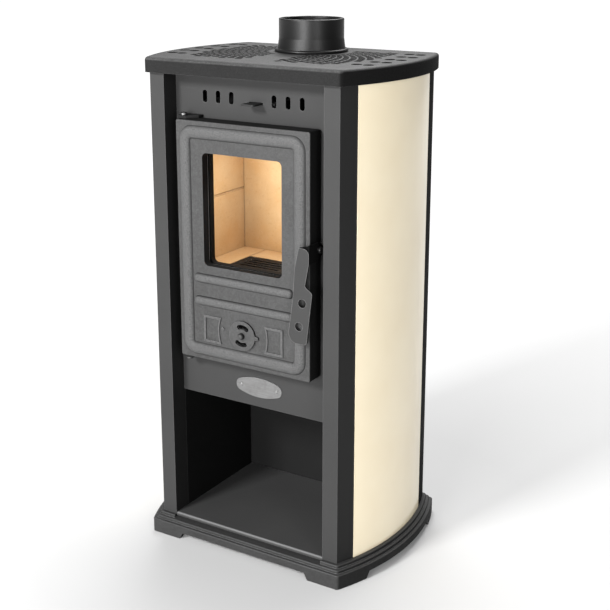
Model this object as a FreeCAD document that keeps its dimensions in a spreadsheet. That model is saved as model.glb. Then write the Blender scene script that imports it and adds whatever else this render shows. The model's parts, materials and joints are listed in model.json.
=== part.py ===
import FreeCAD, Part
import math
import os
import Sketcher
from types import SimpleNamespace

# Driving sizes in millimetres; names that end in angle are degrees, in share are ratios.
# The origin is on the floor under the middle of the stove, the door faces -Y and Z is up.
SIZES = {
    # Plan of the casing: straight front and back, each side one shallow arc
    "carcass_depth": 322,
    "half_width": 231.8,
    "side_radius": 403,
    "widest_behind": 11.5,
    "opening_half_width": 163,
    # Cast base: skirt on four feet, one step and a raised seat for the casing
    "base_overhang": 19,
    "base_step_overhang": 13,
    "base_seat_overhang": 7,
    "foot_drop": 13,
    "foot_length": 62,
    "foot_slope": 7,
    "skirt_top": 27,
    "step_top": 33,
    "seat_top": 39,
    "base_wall": 11,
    "base_deck": 12,
    "base_corner_round": 7,
    "base_edge_round": 2,
    # Casing of folded sheet
    "post_sheet": 3,
    "front_post_side_reach": 33,
    "rear_post_side_reach": 52,
    "rear_post_face": 30,
    "panel_sheet": 2,
    "panel_flange": 10,
    "panel_gap": 1.5,
    "casing_top": 883,
    "back_sheet": 2.5,
    # Front panel, set back between the posts
    "panel_recess": 35,
    "front_sheet": 3,
    "front_bottom": 284,
    "vent_level": 843,
    "vent_height": 22,
    "vent_width": 10,
    "vent_first": 44,
    "vent_pitch": 28,
    "mouth_half_width": 112,
    "mouth_bottom": 395,
    "mouth_top": 778,
    # Wood store under the firebox
    "store_sheet": 2.5,
    "store_depth": 218,
    "store_floor_sheet": 3,
    "store_lip_reach": 10,
    "store_lip_round": 2.8,
    # Steel firebox behind the front panel
    "fire_sheet": 4,
    "fire_bottom": 381,
    "fire_top": 816,
    "fire_back": 134,
    "shelf_level": 493,
    # Fire lining and grate
    "brick": 25,
    "brick_half_room": 160,
    "brick_back_face": 75,
    "brick_joint_level": 637,
    "brick_top": 758,
    "brick_front_gap": 2,
    "brick_bevel": 1.5,
    "rail_inset": 60,
    "rail_height": 200,
    "grate_half_width": 108,
    "grate_back": 18,
    "grate_ledge": 10,
    "grate_plate": 12,
    "grate_slot_width": 6,
    "grate_slot_pitch": 12,
    "grate_slot_margin": 16,
    "grate_bar": 12,
    "baffle": 12,
    "baffle_front_gap": 70,
    # Ash pan on the firebox bottom
    "pan_half_width": 98,
    "pan_depth": 165,
    "pan_height": 62,
    "pan_sheet": 1.5,
    "pan_front_gap": 8,
    # Cast top plate with its openwork
    "top_overhang": 8,
    "top_height": 27,
    "top_plate": 7,
    "top_bearing": 6,
    "top_edge_round": 6,
    "top_corner_round": 9,
    "grille_start": 84,
    "grille_step": 12,
    "grille_reach": 222,
    "grille_pitch_angle": 6.5,
    "grille_hole_half_length": 9.2,
    "grille_hole_half_width_share": 0.41,
    "grille_sweep_angle": 126,
    "grille_band_half_width": 27,
    "grille_front_margin": 46,
    "grille_side_margin": 66,
    "eyelet_radius": 9.5,
    "eyelet_edge_margin": 27,
    "eyelet_spacing": 22,
    "eyelet_pitch": 48,
    # Flue collar
    "flue_behind": 67.6,
    "flue_bore_radius": 53.5,
    "flue_land_radius": 59.5,
    "flue_land_length": 35,
    "flue_root_radius": 62,
    "flue_ring_radius": 67.5,
    "flue_ring_height": 6,
    "flue_stand": 60,
    "flue_tail_radius": 58,
    "flue_hole_clearance": 2,
    "flue_lip_round": 2,
    # Door casting
    "door_proud": 2,
    "door_half_width": 138,
    "door_bottom": 369,
    "door_top": 805,
    "door_plate": 8,
    "door_rim": 7,
    "door_rim_depth": 34,
    "door_corner_round": 4,
    "door_edge_round": 2.5,
    "bead_inset": 8,
    "bead_width": 24,
    "bead_height": 6.5,
    "bead_corner_radius": 27,
    "bar_width": 18,
    "bar_height": 6,
    "bar_half_length": 104.7,
    "bar_shift": 0.7,
    "bar_upper_level": 523,
    "bar_lower_level": 481,
    "window_half_width": 82,
    "window_bottom": 547,
    "window_top": 750,
    "window_radius": 9,
    "window_collar_wall": 12,
    "window_collar_depth": 16,
    "emboss_inner": 46,
    "emboss_outer": 84,
    "emboss_half_height": 25,
    "emboss_line": 4.2,
    "emboss_height": 2.2,
    "emboss_hollow_radius": 72,
    # Hinge on the left
    "hinge_inset": 8,
    "hinge_set_back": 15,
    "hinge_pin_radius": 4,
    "hinge_pin_reach": 20,
    "hinge_head_radius": 6.5,
    "hinge_head_height": 5,
    "hinge_boss_radius": 7.5,
    "hinge_boss_length": 26,
    "hinge_gap": 0.5,
    "hinge_bracket": 5,
    "hinge_bracket_reach": 26,
    "hinge_bracket_nose": 9,
    "hinge_bracket_root": 14,
    "hinge_head_round": 2,
    "hinge_pin_clearance": 0.05,
    # Glass behind the window
    "glass_lap": 12,
    "gasket": 2,
    "glass": 4,
    "retainer_sheet": 2,
    "retainer_tunnel": 11,
    "retainer_screw_radius": 2.5,
    "retainer_head_radius": 4.5,
    "retainer_head_height": 3,
    "retainer_boss_radius": 5.5,
    "retainer_boss_gap": 1.5,
    "retainer_screw_margin": 22,
    "retainer_screw_reach": 9,
    # Rope seal in the door rim
    "rope": 10,
    "rope_gap": 0.3,
    "rope_seat_depth": 26,
    "rope_round": 3,
    # Air rosette
    "rosette_level": 430.5,
    "rosette_radius": 27,
    "rosette_plate": 4,
    "rosette_gap": 0.3,
    "rosette_slot_radius": 16.5,
    "rosette_slot_half_width": 4.2,
    "rosette_slot_half_angle": 34,
    "rosette_slot_turn_angle": 82,
    "rosette_pointer_reach": 33.5,
    "rosette_pointer_half_width": 5,
    "rosette_screw_radius": 3,
    "rosette_nut_radius": 6,
    "rosette_nut_height": 8,
    "rosette_washer": 1,
    "nub_distance": 43,
    "nub_rise": 5,
    "nub_radius": 3,
    # Lever handle and its keeper
    "lever_sheet": 3,
    "lever_stand": 13.5,
    "lever_side_gap": 4.5,
    "lever_pivot_level": 604,
    "lever_pivot_set_back": 17,
    "lever_length": 161,
    "lever_top_rise": 8,
    "lever_top_width": 19.5,
    "lever_top_round": 11.5,
    "lever_flange_drop": 19,
    "lever_flange_rise": 13,
    "lever_hood": 2,
    "lever_nose_reach": 15,
    "lever_nose_half_height": 6,
    "lever_neck_inset": 7.7,
    "lever_neck_rise": 103,
    "lever_shoulder_outset": 6.8,
    "lever_shoulder_rise": 93,
    "lever_heel_inset": 4.5,
    "lever_brow_inset": 27.8,
    "lever_brow_rise": 133,
    "lever_waist_inset": 31.3,
    "lever_waist_rise": 80,
    "lever_tail_inset": 40,
    "lever_tail_rise": 19,
    "lever_tail_round": 18,
    "lever_toe_inset": 26.5,
    "lever_corner_round": 5,
    "lever_hole_inset": 13,
    "lever_hole_shift": 6.4,
    "lever_hole_radius": 7.6,
    "lever_hole_upper_rise": 73,
    "lever_hole_lower_rise": 31,
    "lever_bolt_radius": 4,
    "lever_bolt_head_radius": 6,
    "lever_bolt_head_height": 4.5,
    "lever_boss_radius": 8,
    "lever_boss_length": 9,
    "lever_play": 0.3,
    "keeper_sheet": 3,
    "keeper_gap": 1.6,
    "keeper_reach": 12,
    "keeper_foot": 14,
    "keeper_half_height": 15,
    "keeper_pin_radius": 3,
    "keeper_pin_gap": 0.6,
    # Badge plate
    "badge_shift": 8,
    "badge_level": 321,
    "badge_half_length": 49,
    "badge_half_height": 18.5,
    "badge_end_radius": 12,
    "badge_sheet": 1.5,
    "rivet_spacing": 76,
    "rivet_radius": 3,
    "rivet_height": 1.2,
    # Air control slide on its duct
    "slide_shift": 7.5,
    "slide_level": 839,
    "slide_sheet": 3,
    "tab_half_width": 13,
    "tab_reach": 28,
    "tab_corner_round": 3,
    "slide_half_width": 36,
    "slide_depth": 55,
    "slide_stop_gap": 1,
    "slide_slot_clearance": 1,
    "slide_play": 0.3,
    "duct_sheet": 2,
    "duct_depth": 88,
    "duct_guide": 5,
    "duct_hole_length": 40,
    "duct_hole_width": 12,
    "duct_hole_spacing": 34,
    # One overrun for every cut that passes through a face
    "overrun": 2,
}

PART_FOLDER = "parts"
HALF_TURN = 180
FULL_TURN = 360
VENTS_PER_SIDE = 3
EYELET_ROWS = 5
EYELET_ROWS_IN_FRONT = 2
# Corner radii as shares of the width that they round
VENT_CORNER_SHARE = 0.45
SLOT_CORNER_SHARE = 0.45
KIDNEY_CAP_SHARE = 1.08
DOME_SHARE = 0.9

doc = FreeCAD.newDocument("stove")
sheet = doc.addObject("Spreadsheet::Sheet", "sizes")


# A length that keeps its value together with the sheet expression that gives it.
class Size:
    def __init__(self, value, text):
        self.value = value
        self.text = text

    def __add__(self, other):
        other = as_size(other)
        return Size(self.value + other.value, f"({self.text} + {other.text})")

    def __sub__(self, other):
        other = as_size(other)
        return Size(self.value - other.value, f"({self.text} - {other.text})")

    def __mul__(self, other):
        other = as_size(other)
        return Size(self.value * other.value, f"({self.text} * {other.text})")

    def __truediv__(self, other):
        other = as_size(other)
        return Size(self.value / other.value, f"({self.text} / {other.text})")

    def __neg__(self):
        return Size(-self.value, f"(0 - {self.text})")

    def __rsub__(self, other):
        return as_size(other) - self

    def __radd__(self, other):
        return as_size(other) + self

    def __rmul__(self, other):
        return as_size(other) * self


def as_size(item):
    if isinstance(item, Size):
        return item
    return Size(item, repr(item))


def root(item):
    return Size(math.sqrt(item.value), f"sqrt({item.text})")


def sine(angle):
    angle = as_size(angle)
    return Size(math.sin(math.radians(angle.value)), f"sin({angle.text})")


def cosine(angle):
    angle = as_size(angle)
    return Size(math.cos(math.radians(angle.value)), f"cos({angle.text})")


def smaller(first, second):
    return Size(min(first.value, second.value), f"min({first.text}; {second.text})")


def fill_sheet():
    sizes = {}
    for row, (name, value) in enumerate(SIZES.items(), start=1):
        sheet.set(f"A{row}", name)
        sheet.set(f"B{row}", str(value))
        sheet.setAlias(f"B{row}", name)
        sizes[name] = Size(value, f"sizes.{name}")
    doc.recompute()
    return SimpleNamespace(**sizes)


size = fill_sheet()
nodes = []


# Placement and sketch helpers

def bind(item, path, length):
    item.setExpression(path, as_size(length).text)


def place(item, x=0, y=0, z=0):
    for axis, length in zip("xyz", (x, y, z)):
        if isinstance(length, Size):
            bind(item, f"Placement.Base.{axis}", length)
    return item


def new_body(name):
    body = doc.addObject("PartDesign::Body", name)
    body.Label = name
    nodes.append(body)
    return body


def new_sketch(body, plane, offset=0, rise=0):
    sketch = body.newObject("Sketcher::SketchObject", f"{body.Label}_sketch")
    origin = [item for item in body.Origin.OriginFeatures if item.Role == f"{plane}_Plane"]
    sketch.AttachmentSupport = (origin[0], [""])
    sketch.MapMode = "FlatFace"
    if isinstance(offset, Size):
        bind(sketch, "AttachmentOffset.Base.z", offset)
        sketch.AttachmentOffset.Base.z = offset.value
    if isinstance(rise, Size):
        bind(sketch, "AttachmentOffset.Base.y", rise)
    return sketch


def pin(sketch, edge, end, x, y):
    for kind, axis, length in (("DistanceX", -2, x), ("DistanceY", -1, y)):
        if isinstance(length, Size):
            index = sketch.addConstraint(Sketcher.Constraint(kind, -1, 1, edge, end, length.value))
            bind(sketch, f"Constraints[{index}]", length)
        else:
            sketch.addConstraint(Sketcher.Constraint("PointOnObject", edge, end, axis))


def vector(point):
    return FreeCAD.Vector(as_size(point[0]).value, as_size(point[1]).value, 0)


# Part of a circle from start to end; a positive radius turns to the left, a negative one to the right.
def arc(start, end, radius):
    chord = end - start
    left = FreeCAD.Vector(-chord.y, chord.x, 0).normalize()
    side = math.copysign(1, radius)
    rise = math.sqrt(radius ** 2 - (chord.Length / 2) ** 2)
    centre = (start + end) / 2 + left * rise * side
    first, last = (start, end) if side > 0 else (end, start)
    angles = [math.atan2((spot - centre).y, (spot - centre).x) for spot in (first, last)]
    circle = Part.Circle(centre, FreeCAD.Vector(0, 0, 1), abs(radius))
    return Part.ArcOfCircle(circle, angles[0], angles[1])


# A closed outline. Each corner is (x, y) or (x, y, radius), where the radius bends the edge that ends there.
def outline(sketch, corners):
    ends = []
    for index, corner in enumerate(corners):
        start = vector(corners[index - 1])
        end = vector(corner)
        if len(corner) == 2:
            edge = sketch.addGeometry(Part.LineSegment(start, end))
            ends.append((edge, 1, 2))
            continue
        radius = corner[2]
        edge = sketch.addGeometry(arc(start, end, radius.value))
        turn = (edge, 1, 2) if radius.value > 0 else (edge, 2, 1)
        ends.append(turn)
        length = radius if radius.value > 0 else -radius
        bend = sketch.addConstraint(Sketcher.Constraint("Radius", edge, length.value))
        bind(sketch, f"Constraints[{bend}]", length)
    for index, corner in enumerate(corners):
        edge, first, last = ends[index]
        following, start, finish = ends[(index + 1) % len(ends)]
        sketch.addConstraint(Sketcher.Constraint("Coincident", edge, last, following, start))
        pin(sketch, edge, last, corner[0], corner[1])


def circle(sketch, x, y, radius):
    spot = vector((x, y))
    edge = sketch.addGeometry(Part.Circle(spot, FreeCAD.Vector(0, 0, 1), radius.value))
    pin(sketch, edge, 3, x, y)
    index = sketch.addConstraint(Sketcher.Constraint("Radius", edge, radius.value))
    bind(sketch, f"Constraints[{index}]", radius)


def rectangle(low_x, low_y, high_x, high_y):
    return [(low_x, low_y), (high_x, low_y), (high_x, high_y), (low_x, high_y)]


def rounded(low_x, low_y, high_x, high_y, radius):
    return [
        (low_x + radius, low_y, radius), (high_x - radius, low_y),
        (high_x, low_y + radius, radius), (high_x, high_y - radius),
        (high_x - radius, high_y, radius), (low_x + radius, high_y),
        (low_x, high_y - radius, radius), (low_x, low_y + radius),
    ]


# Feature helpers

def pad(body, sketch, length, reverse=False):
    feature = body.newObject("PartDesign::Pad", f"{body.Label}_pad")
    feature.Profile = sketch
    feature.Reversed = reverse
    bind(feature, "Length", length)
    return feature


def pocket(body, sketch, depth, reverse=False):
    feature = body.newObject("PartDesign::Pocket", f"{body.Label}_pocket")
    feature.Profile = sketch
    feature.Reversed = reverse
    bind(feature, "Length", depth)
    return feature


def revolve(body, sketch, axis="V_Axis"):
    feature = body.newObject("PartDesign::Revolution", f"{body.Label}_revolution")
    feature.Profile = sketch
    feature.ReferenceAxis = (sketch, [axis])
    feature.Angle = FULL_TURN
    return feature


def sweep(body, profile, spine):
    feature = body.newObject("PartDesign::AdditivePipe", f"{body.Label}_pipe")
    feature.Profile = profile
    feature.Spine = spine
    return feature


def linear(body, feature, sketch, axis, length, count):
    pattern = body.newObject("PartDesign::LinearPattern", f"{body.Label}_linear")
    pattern.Originals = [feature]
    pattern.Direction = (sketch, [axis])
    bind(pattern, "Length", length)
    pattern.Occurrences = count
    body.Tip = pattern
    return pattern


# Rounds the edges of the body's last feature whose corner points all pass the test, or those along one axis.
def round_edges(body, radius, test, along=None):
    doc.recompute()
    base = body.Tip
    names = []
    for index, edge in enumerate(base.Shape.Edges, start=1):
        points = [vertex.Point for vertex in edge.Vertexes]
        run = points[-1] - points[0]
        if along and abs(getattr(run, along)) < run.Length:
            continue
        if all(test(point) for point in points):
            names.append(f"Edge{index}")
    fillet = body.newObject("PartDesign::Fillet", f"{body.Label}_fillet")
    fillet.Base = (base, names)
    bind(fillet, "Radius", radius)
    return fillet


# A test for points on a plane square to one axis, such as ("z", top).
def on_plane(axis, level):
    limit = as_size(level).value
    return lambda point: abs(getattr(point, axis) - limit) < 1e-4


# A plain plate or block between two corners.
def block(name, low, high):
    item = doc.addObject("Part::Box", name)
    item.Label = name
    for path, axis in (("Length", 0), ("Width", 1), ("Height", 2)):
        bind(item, path, high[axis] - low[axis])
    nodes.append(item)
    return place(item, *low)


def mirror_node(name, source):
    item = doc.addObject("Part::Mirroring", name)
    item.Label = name
    item.Source = source
    item.Normal = FreeCAD.Vector(1, 0, 0)
    nodes.append(item)
    return item


# Levels and planes that several pieces share
front = -size.carcass_depth / 2
back = size.carcass_depth / 2
panel_front = front + size.panel_recess
panel_back = panel_front + size.front_sheet
fire_front = panel_back + size.fire_sheet
fire_half = size.brick_half_room + size.brick
fire_inner_back = size.fire_back - size.fire_sheet
fire_floor = size.fire_bottom + size.fire_sheet
fire_ceiling = size.fire_top - size.fire_sheet
top_level = size.casing_top + size.top_height
door_front = front - size.door_proud
store_back = panel_back + size.store_depth
glass_front = size.window_collar_depth + size.gasket
glass_back = glass_front + size.glass
rope_depth = panel_front - door_front - size.rope_gap - size.rope_seat_depth
lever_inner = size.door_half_width + size.lever_side_gap
lever_outer = lever_inner + size.lever_sheet
slide_bottom = size.slide_level - size.slide_sheet
hinge_x = -(size.door_half_width - size.hinge_inset)
hinge_y = door_front + size.hinge_set_back


# Half width of the casing, or of an outline that overhangs it, at a depth y
def side_x(y, overhang):
    reach = size.side_radius + overhang
    rise = y - size.widest_behind
    return size.half_width - size.side_radius + root(reach * reach - rise * rise)


# The casing's plan outline with an overhang and rounded corners, moved forward by a shift
def barrel(overhang, corner, shift=0):
    bend = size.side_radius + overhang
    middle_x = size.half_width - size.side_radius
    spread = bend / (bend - corner)
    ends = []
    near_edge = front - overhang
    far_edge = back + overhang
    for edge_y, round_y in ((near_edge, near_edge + corner), (far_edge, far_edge - corner)):
        round_x = side_x(round_y, overhang - corner)
        arc_x = middle_x + (round_x - middle_x) * spread
        arc_y = size.widest_behind + (round_y - size.widest_behind) * spread
        ends.append((round_x, edge_y - shift, arc_x, arc_y - shift))
    (near_x, near_y, near_arc_x, near_arc_y), (far_x, far_y, far_arc_x, far_arc_y) = ends
    return [
        (-near_x, near_y, corner), (near_x, near_y),
        (near_arc_x, near_arc_y, corner), (far_arc_x, far_arc_y, bend),
        (far_x, far_y, corner), (-far_x, far_y),
        (-far_arc_x, far_arc_y, corner), (-near_arc_x, near_arc_y, bend),
    ]


# A test for points at one level that lie outside the casing's outline by more than an overhang
def outside(level, overhang, shift=0):
    plane = on_plane("z", level)
    limit = as_size(overhang).value
    forward = as_size(shift).value

    def test(point):
        y = point.y + forward
        from_middle = abs(point.x) - size.half_width.value + size.side_radius.value
        reach = math.hypot(from_middle, y - size.widest_behind.value)
        beyond = reach > size.side_radius.value + limit or abs(y) > back.value + limit
        return plane(point) and beyond
    return test


def make_base():
    body = new_body("base_plinth")
    tiers = (
        (size.base_overhang, size.base_step_overhang, size.skirt_top),
        (size.base_step_overhang, size.base_seat_overhang, size.step_top),
        (size.base_seat_overhang, 0, size.seat_top),
    )
    for overhang, following, level in tiers:
        sketch = new_sketch(body, "XY")
        outline(sketch, barrel(overhang, size.base_corner_round))
        pad(body, sketch, level)
        round_edges(body, size.base_edge_round, outside(level, (overhang + following) / 2))

    # The seat stops at the posts, so the store floor's lip has room between them
    near = front - size.base_overhang
    sketch = new_sketch(body, "XY", size.seat_top)
    half = size.opening_half_width
    outline(sketch, rectangle(-half, near, half, front + size.store_lip_reach))
    pocket(body, sketch, size.seat_top - size.step_top)

    sketch = new_sketch(body, "XY")
    outline(sketch, barrel(size.base_overhang - size.base_wall, size.base_corner_round))
    pocket(body, sketch, size.seat_top - size.base_deck, reverse=True)

    # Gaps between the feet, through front and back and then through both sides
    far = back + size.base_overhang + size.overrun
    wide = size.half_width + size.base_overhang + size.overrun
    gap_x = side_x(near, size.base_overhang) - size.foot_length
    gap_y = back + size.base_overhang - size.foot_length
    for plane, gap, reach in (("XZ", gap_x, far), ("YZ", gap_y, wide)):
        sketch = new_sketch(body, plane, reach)
        top = gap - size.foot_slope
        outline(sketch, [(-gap, 0), (gap, 0), (top, size.foot_drop), (-top, size.foot_drop)])
        pocket(body, sketch, reach * 2)


def make_posts():
    fold = size.post_sheet
    inner = size.opening_half_width
    reach = front + size.front_post_side_reach
    height = size.casing_top - size.seat_top
    post = new_body("front_post_right")
    sketch = new_sketch(post, "XY")
    outline(sketch, [
        (inner, panel_back), (inner, front), (side_x(front, 0), front),
        (side_x(reach, 0), reach, size.side_radius), (side_x(reach, -fold), reach),
        (side_x(front + fold, -fold), front + fold, fold - size.side_radius),
        (inner + fold, front + fold), (inner + fold, panel_back),
    ])
    pad(post, sketch, height)
    place(post, z=size.seat_top)
    mirror_node("front_post_left", post)

    face = side_x(back, 0) - size.rear_post_face
    reach = back - size.rear_post_side_reach
    post = new_body("rear_post_right")
    sketch = new_sketch(post, "XY")
    outline(sketch, [
        (face, back - fold), (side_x(back - fold, -fold), back - fold),
        (side_x(reach, -fold), reach, fold - size.side_radius), (side_x(reach, 0), reach),
        (side_x(back, 0), back, size.side_radius), (face, back),
    ])
    pad(post, sketch, height)
    place(post, z=size.seat_top)
    mirror_node("rear_post_left", post)


def make_side_panels():
    skin = size.panel_sheet
    near = front + size.front_post_side_reach + size.panel_gap
    far = back - size.rear_post_side_reach - size.panel_gap
    near_x = side_x(near, 0)
    far_x = side_x(far, 0)
    body = new_body("side_panel_right")
    sketch = new_sketch(body, "XY")
    outline(sketch, [
        (near_x - size.panel_flange, near), (near_x, near),
        (far_x, far, size.side_radius), (far_x - size.panel_flange, far),
        (far_x - size.panel_flange, far - skin), (side_x(far - skin, -skin), far - skin),
        (side_x(near + skin, -skin), near + skin, skin - size.side_radius),
        (near_x - size.panel_flange, near + skin),
    ])
    pad(body, sketch, size.casing_top - size.seat_top)
    place(body, z=size.seat_top)
    mirror_node("side_panel_left", body)


def make_casing_back():
    rear = back - size.post_sheet
    half = side_x(rear, -size.post_sheet) - size.post_sheet
    block("back_panel", (-half, rear - size.back_sheet, size.seat_top), (half, rear, size.casing_top))


def make_front_panel():
    body = new_body("front_panel")
    half = size.opening_half_width
    sketch = new_sketch(body, "XZ")
    outline(sketch, rectangle(-half, size.front_bottom, half, size.casing_top))
    mouth = size.mouth_half_width
    outline(sketch, rectangle(-mouth, size.mouth_bottom, mouth, size.mouth_top))
    slot = size.tab_half_width + size.slide_slot_clearance
    outline(sketch, rectangle(
        size.slide_shift - slot, size.slide_level - size.slide_sheet - size.slide_slot_clearance,
        size.slide_shift + slot, size.slide_level + size.slide_slot_clearance,
    ))
    pad(body, sketch, size.front_sheet, reverse=True)

    # Convection slots, the same number on each side
    sketch = new_sketch(body, "XZ")
    low_z = size.vent_level - size.vent_height / 2
    corner = size.vent_width * VENT_CORNER_SHARE
    for index in range(VENTS_PER_SIDE):
        for side in (-1, 1):
            low_x = (size.vent_first + size.vent_pitch * index) * side - size.vent_width / 2
            outline(sketch, rounded(low_x, low_z, low_x + size.vent_width, low_z + size.vent_height, corner))
    pocket(body, sketch, size.front_sheet + size.overrun)
    place(body, y=panel_front)


def make_wood_store():
    half = size.opening_half_width
    wall = size.store_sheet
    right = block(
        "wood_store_wall_right",
        (half, panel_back, size.seat_top), (half + wall, store_back + wall, size.fire_bottom),
    )
    mirror_node("wood_store_wall_left", right)
    block("wood_store_back", (-half, store_back, size.seat_top), (half, store_back + wall, size.front_bottom))
    block(
        "wood_store_ceiling",
        (-half, panel_back, size.front_bottom), (half, store_back + wall, size.front_bottom + wall),
    )

    # Floor sheet with a rolled lip along its front edge
    floor = new_body("wood_store_floor")
    sketch = new_sketch(floor, "YZ", -half)
    lip = size.store_lip_round
    sheet_top = size.store_floor_sheet
    nose = front + lip / 2
    edge = front + size.store_lip_reach
    outline(sketch, [
        (edge, 0), (store_back, 0), (store_back, sheet_top), (nose + lip, sheet_top),
        (nose, sheet_top - lip, lip), (nose, -lip), (nose + lip, -lip * 2, lip), (edge, -lip * 2),
    ])
    pad(floor, sketch, half * 2)
    place(floor, z=size.seat_top)


def make_firebox():
    half = fire_half + size.fire_sheet
    low, high = size.fire_bottom, size.fire_top
    body = new_body("firebox_front")
    sketch = new_sketch(body, "XZ")
    outline(sketch, rectangle(-half, low, half, high))
    mouth = size.mouth_half_width
    outline(sketch, rectangle(-mouth, size.mouth_bottom, mouth, size.mouth_top))
    pad(body, sketch, size.fire_sheet, reverse=True)
    place(body, y=panel_back)

    block("firebox_back", (-half, fire_inner_back, low), (half, size.fire_back, high))
    block("firebox_bottom", (-half, fire_front, low), (half, fire_inner_back, fire_floor))
    side = block(
        "firebox_side_right", (fire_half, fire_front, fire_floor), (half, fire_inner_back, fire_ceiling),
    )
    mirror_node("firebox_side_left", side)

    lid = new_body("firebox_top")
    sketch = new_sketch(lid, "XY")
    outline(sketch, rectangle(-half, fire_front, half, fire_inner_back))
    circle(sketch, 0, size.flue_behind, size.flue_bore_radius)
    pad(lid, sketch, size.fire_sheet)
    place(lid, z=fire_ceiling)

    shelf = new_body("grate_shelf")
    sketch = new_sketch(shelf, "XY")
    outline(sketch, rectangle(-fire_half, fire_front, fire_half, fire_inner_back))
    hole = size.grate_half_width - size.grate_ledge
    near = fire_front + size.brick_front_gap + size.grate_ledge
    outline(sketch, rectangle(-hole, near, hole, size.grate_back - size.grate_ledge))
    pad(shelf, sketch, size.fire_sheet)
    place(shelf, z=size.shelf_level - size.fire_sheet)


# A firebrick with bevelled edges
def brick(name, low, high):
    raw = doc.addObject("Part::Box", f"{name}_block")
    for path, axis in (("Length", 0), ("Width", 1), ("Height", 2)):
        bind(raw, path, high[axis] - low[axis])
    place(raw, *low)
    doc.recompute()
    item = doc.addObject("Part::Chamfer", name)
    item.Label = name
    item.Base = raw
    bevel = size.brick_bevel.value
    item.Edges = [(index, bevel, bevel) for index in range(1, len(raw.Shape.Edges) + 1)]
    nodes.append(item)
    return item


def make_fire_lining():
    near = fire_front + size.brick_front_gap
    room = size.brick_half_room
    rear = size.brick_back_face + size.brick
    shelf = size.shelf_level
    joint = size.brick_joint_level
    hearth = shelf + size.brick
    rows = (("lower", shelf, joint), ("upper", joint, size.brick_top))
    for row, low, high in rows:
        side = brick(f"side_brick_{row}_right", (room, near, low), (fire_half, rear, high))
        mirror_node(f"side_brick_{row}_left", side)
    brick("back_brick", (-room, size.brick_back_face, shelf), (room, rear, size.brick_top))
    side = brick(
        "floor_brick_right", (size.grate_half_width, near, shelf), (room, size.brick_back_face, hearth),
    )
    mirror_node("floor_brick_left", side)
    brick(
        "floor_brick_rear",
        (-size.grate_half_width, size.grate_back, shelf),
        (size.grate_half_width, size.brick_back_face, hearth),
    )

    # Two upright flats hold the back brick off the firebox wall
    rails = new_body("back_brick_rails")
    sketch = new_sketch(rails, "XY")
    for side in (-1, 1):
        low = (room - size.rail_inset) * side - size.fire_sheet / 2
        outline(sketch, rectangle(low, rear, low + size.fire_sheet, fire_inner_back))
    pad(rails, sketch, size.rail_height)
    place(rails, z=shelf)

    block(
        "baffle_plate",
        (-fire_half, fire_front + size.baffle_front_gap, size.brick_top),
        (fire_half, fire_inner_back, size.brick_top + size.baffle),
    )


def make_grate():
    near = fire_front + size.brick_front_gap
    half = size.grate_half_width
    body = new_body("grate")
    sketch = new_sketch(body, "XY")
    outline(sketch, rectangle(-half, near, half, size.grate_back))
    pad(body, sketch, size.brick)

    # Hollow below, so the bars hang between a rim that rests on the shelf
    ledge = size.grate_ledge
    sketch = new_sketch(body, "XY")
    outline(sketch, rectangle(-half + ledge, near + ledge, half - ledge, size.grate_back - ledge))
    pocket(body, sketch, size.brick - size.grate_plate, reverse=True)

    # Rows of long slots, in two columns beside a middle bar
    margin = size.grate_slot_margin
    width = size.grate_slot_width
    run = size.grate_back.value - near.value - 2 * margin.value - width.value
    count = int(run / size.grate_slot_pitch.value) + 1
    sketch = new_sketch(body, "XY", size.brick)
    corner = width * SLOT_CORNER_SHARE
    for low, high in ((-half + margin, -size.grate_bar / 2), (size.grate_bar / 2, half - margin)):
        outline(sketch, rounded(low, near + margin, high, near + margin + width, corner))
    cut = pocket(body, sketch, size.brick)
    linear(body, cut, sketch, "V_Axis", size.grate_slot_pitch * (count - 1), count)
    place(body, z=size.shelf_level)


def make_ash_pan():
    half = size.pan_half_width
    near = fire_front + size.pan_front_gap
    far = near + size.pan_depth
    wall = size.pan_sheet
    body = new_body("ash_pan")
    sketch = new_sketch(body, "XY")
    outline(sketch, rectangle(-half, near, half, far))
    pad(body, sketch, size.pan_height)
    sketch = new_sketch(body, "XY", size.pan_height)
    outline(sketch, rectangle(-half + wall, near + wall, half - wall, far - wall))
    pocket(body, sketch, size.pan_height - wall)

    # Turned-out lip along the front to pull it by
    sketch = new_sketch(body, "XY", size.pan_height - wall)
    outline(sketch, rectangle(-half, near - size.pan_front_gap + wall, half, near + wall))
    pad(body, sketch, wall)
    place(body, z=fire_floor)


def make_top_plate():
    shift = size.flue_behind
    shell = new_body("top_plate_shell")
    nodes.remove(shell)
    sketch = new_sketch(shell, "XY")
    outline(sketch, barrel(size.top_overhang, size.top_corner_round, shift))
    pad(shell, sketch, size.top_height)
    round_edges(shell, size.top_edge_round, on_plane("z", size.top_height))
    sketch = new_sketch(shell, "XY")
    outline(sketch, barrel(-size.top_bearing, size.top_corner_round, shift))
    pocket(shell, sketch, size.top_height - size.top_plate, reverse=True)

    # Every opening in the deck is a plain face, because there are hundreds, and one cut takes them all
    wires = [round_wire(0, 0, size.flue_tail_radius + size.flue_hole_clearance)]
    wires += eyelet_wires(shift) + grille_wires()
    openings = doc.addObject("Part::Feature", "top_plate_openings")
    openings.Shape = Part.makeCompound([Part.Face(wire) for wire in wires])
    cores = doc.addObject("Part::Extrusion", "top_plate_cores")
    cores.Base = openings
    cores.DirMode = "Custom"
    cores.Dir = FreeCAD.Vector(0, 0, 1)
    bind(cores, "LengthFwd", size.top_height + size.overrun)

    plate = doc.addObject("Part::Cut", "top_plate")
    plate.Label = "top_plate"
    plate.Base = shell
    plate.Tool = cores
    nodes.append(plate)
    place(plate, y=shift, z=size.casing_top)


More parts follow.
